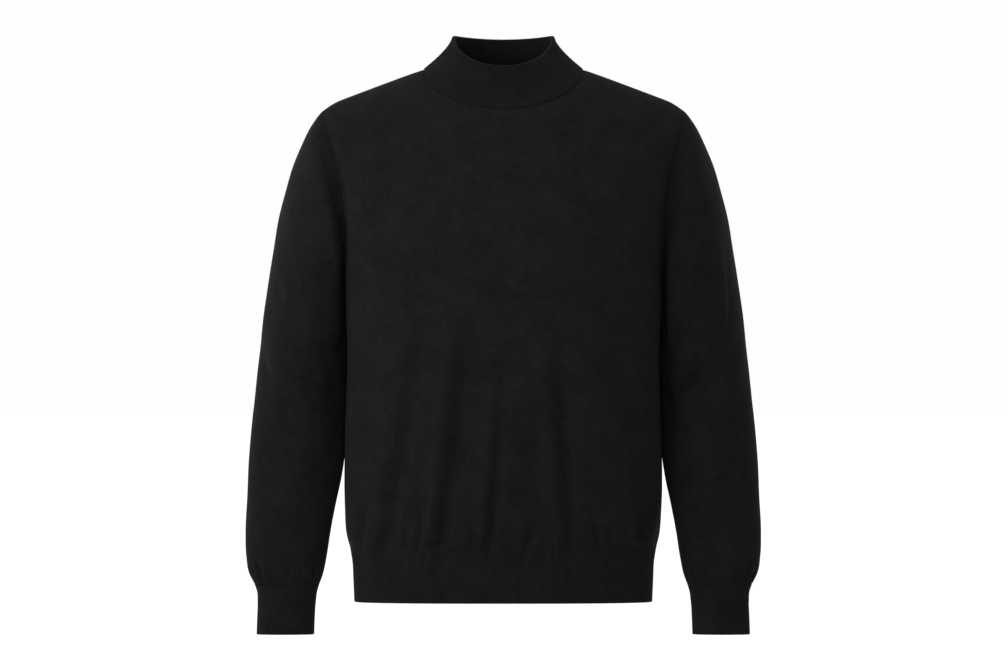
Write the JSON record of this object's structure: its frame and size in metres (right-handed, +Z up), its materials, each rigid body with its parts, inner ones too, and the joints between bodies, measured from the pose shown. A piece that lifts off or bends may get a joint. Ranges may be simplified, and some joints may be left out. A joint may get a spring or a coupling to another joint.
{
  "type": "mock neck sweater",
  "caption": "Plain fine-knit pullover with a mock neck, long sleeves and ribbed hem and cuffs, hollow, in the form it has when worn.",
  "frame": {"origin": "midway between the two neck points, where the shoulder seams meet the collar", "axes": "+Z up, the front faces -Y, the wearer's left side is at +X"},
  "size_m": [0.655, 0.2414, 0.7595],
  "materials": {
    "jersey_body": "fine plain knit, matt",
    "jersey_sleeve": "fine plain knit, matt",
    "rib_hem": "fine rib knit, matt",
    "rib_cuff": "fine rib knit, matt",
    "rib_collar": "fine rib knit folded double, matt"
  },
  "bodies": {
    "root": {"front": "jersey_body", "back": "jersey_body", "sleeve_left": "jersey_sleeve", "sleeve_right": "jersey_sleeve", "hem_front": "rib_hem", "hem_back": "rib_hem", "cuff_left": "rib_cuff", "cuff_right": "rib_cuff", "collar": "rib_collar"}
  },
  "joints": []
}
